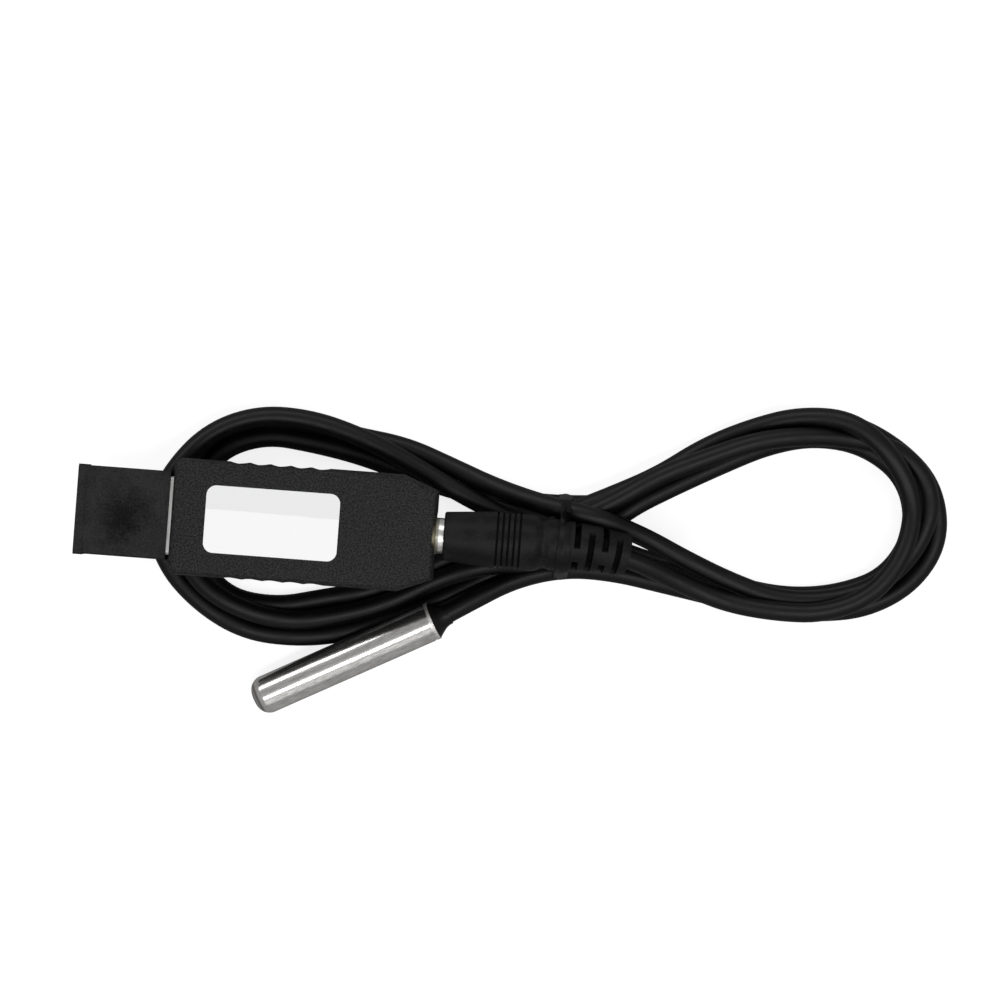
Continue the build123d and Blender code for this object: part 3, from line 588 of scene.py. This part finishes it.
class Shape(Graph):
    """A geometry tree with named inputs, used on a curve to make a plain mesh."""

    KINDS = {float: "NodeSocketFloat", int: "NodeSocketInt"}

    def __init__(self, name, material, **inputs):
        super().__init__(bpy.data.node_groups.new(name, "GeometryNodeTree"))
        face = self.tree.interface
        face.new_socket("Path", in_out="INPUT", socket_type="NodeSocketGeometry")
        for label, value in inputs.items():
            socket = face.new_socket(label, in_out="INPUT", socket_type=self.KINDS[type(value)])
            socket.default_value = value
        face.new_socket("Mesh", in_out="OUTPUT", socket_type="NodeSocketGeometry")
        self.material = material
        self.path = self.given("Path")

    def given(self, label):
        """One of the tree's own inputs."""
        return self.node("NodeGroupInput", output=label)

    def close(self, geometry):
        """Ends the tree: real geometry, smooth, with its material."""
        real = self.node("GeometryNodeRealizeInstances", inputs={"Geometry": geometry})
        smooth = self.node("GeometryNodeSetShadeSmooth", inputs={"Geometry": real})
        coated = self.node(
            "GeometryNodeSetMaterial", inputs={"Geometry": smooth, "Material": self.material}
        )
        self.node("NodeGroupOutput", inputs={"Mesh": coated})

    def made(self, name, path):
        """The mesh that the tree makes of a path."""
        carrier = bpy.data.objects.new(name + "_path", path)
        bpy.context.scene.collection.objects.link(carrier)
        modifier = carrier.modifiers.new(name, "NODES")
        modifier.node_group = self.tree
        graph = bpy.context.evaluated_depsgraph_get()
        mesh = bpy.data.meshes.new_from_object(carrier.evaluated_get(graph), depsgraph=graph)
        carrier.modifiers.clear()
        bpy.data.objects.remove(carrier)
        return mesh


# What the twist tie holds where it goes round the waist, WAIST millimetres along: strands and
# the moulded plug, each by its place across, its height and its radius in millimetres.
WAIST = 60.2
TIE_HOLDS = [
    (-3.78, 2.74, 1.5), (-1.44, 5.18, 1.5), (2.42, 1.94, 1.5), (6.15, 2.34, 1.5), (5.44, 9.33, 1.5),
    (0.0, 11.4, 4.15),
]
TIE_CLEARANCE = 0.07
TIE_LOWEST = 0.24
# Shares of the loop's length, from the bottom round the far side: where the ribbon narrows
# and widens again, where it turns over, and the other end's ribbon, twisted round it there.
TIE_NARROWS = (0.24, 0.28)
TIE_WIDENS = (0.47, 0.51)
TIE_TWIST = (0.352, 0.404)
TIE_TAIL = (0.337, 0.417)


def tie_path():
    """The tightest loop round what the tie holds, from the bottom and up on the far side."""
    steps = 72
    loop = []
    for step in range(steps):
        turn = math.tau * (step / steps - 0.25)
        side, height = math.cos(turn), math.sin(turn)
        held = max(TIE_HOLDS, key=lambda item: item[0] * side + item[1] * height + item[2])
        reach = held[2] + TIE_CLEARANCE
        loop.append((WAIST, held[0] + reach * side, max(held[1] + reach * height, TIE_LOWEST)))
    return loop


def twist_tie():
    """A flat wire ribbon round the waist, turned over itself where its ends were twisted."""
    path = bpy.data.curves.new("tie_loop", "CURVE")
    path.dimensions = "3D"
    spline = path.splines.new("NURBS")
    loop = tie_path()
    spline.points.add(len(loop) - 1)
    for point, place in zip(spline.points, loop):
        point.co = (*on_table(*place), 1)
    spline.order_u = 3
    spline.use_cyclic_u = True
    spline.resolution_u = 4

    shape = Shape(
        "ribbon", FINISHES["tie"], Width=2.15 * MM, Thickness=0.2 * MM, Wire=0.22 * MM,
        Waist=0.7, Twist_from=TIE_TWIST[0], Twist_to=TIE_TWIST[1], Turns=1.0, Steps=480,
    )
    round_profile = shape.node(
        "GeometryNodeCurvePrimitiveCircle", inputs={"Resolution": 28, "Radius": 1.0}
    )
    place = shape.node("GeometryNodeInputPosition")
    across = shape.node("ShaderNodeSeparateXYZ", inputs={"Vector": place}, output="X")
    side = shape.node("ShaderNodeSeparateXYZ", inputs={"Vector": place}, output="Y")
    bulge = (1.0 - across * across) ** 6.0
    flattened = shape.node(
        "ShaderNodeCombineXYZ",
        inputs={
            "X": across * shape.given("Width") * 0.5,
            "Y": side * (shape.given("Thickness") + bulge * shape.given("Wire")) * 0.5,
        },
    )
    flat_profile = shape.node(
        "GeometryNodeSetPosition", inputs={"Geometry": round_profile, "Position": flattened}
    )

    def ribbon(path, count, start, end, quarter_turns):
        """A ribbon along a stretch of the loop, twisted where the loop's twist is."""
        steps = shape.node(
            "GeometryNodeResampleCurve", {"mode": "COUNT"}, {"Curve": path, "Count": count}
        )
        factor = shape.node("GeometryNodeSplineParameter", output="Factor")
        along = factor * (end - start) + start
        past = along.between(shape.given("Twist_from"), shape.given("Twist_to"))
        turned = past * shape.given("Turns") * math.tau + quarter_turns * math.pi / 2
        tilted = shape.node("GeometryNodeSetCurveTilt", inputs={"Curve": steps, "Tilt": turned})
        narrow = along.between(*TIE_NARROWS) * along.between(*reversed(TIE_WIDENS))
        return shape.node(
            "GeometryNodeCurveToMesh",
            inputs={
                "Curve": tilted,
                "Profile Curve": flat_profile,
                "Scale": 1.0 - narrow * (1.0 - shape.given("Waist")),
                "Fill Caps": True,
            },
        )

    whole = ribbon(shape.path, shape.given("Steps"), 0.0, 1.0, 0)
    piece_of_path = shape.node(
        "GeometryNodeTrimCurve",
        inputs={"Curve": shape.path, 2: TIE_TAIL[0], 3: TIE_TAIL[1]},
    )
    tail = ribbon(piece_of_path, 60, *TIE_TAIL, 1)
    shape.close(shape.node("GeometryNodeJoinGeometry", inputs={"Geometry": [whole, tail]}))
    new_piece("twist_tie", shape.made("twist_tie", path), "cable_tie")


twist_tie()

for node, piece in frame["nodes"].items():
    piece.data.materials.clear()
    piece.data.materials.append(FINISHES[NODE_SLOTS[node]])

ROUND_SOLIDS = (
    "housing_top", "housing_bottom", "plug_insulator", "plug_inner_sleeve", "socket_ring",
    "socket_body", "socket_pin", "probe_boot", "label",
)
for node in ROUND_SOLIDS:
    skin(node)
skin("cap", widen=1.062)
skin("usb_shell", SHELL_SATIN)
skin("plug_barrel", PLUG_NICKEL)
skin("plug_grip", GRIP_VINYL)
skin("probe_tube")

tuple(on_table(*CORD_ROUTE[0]))
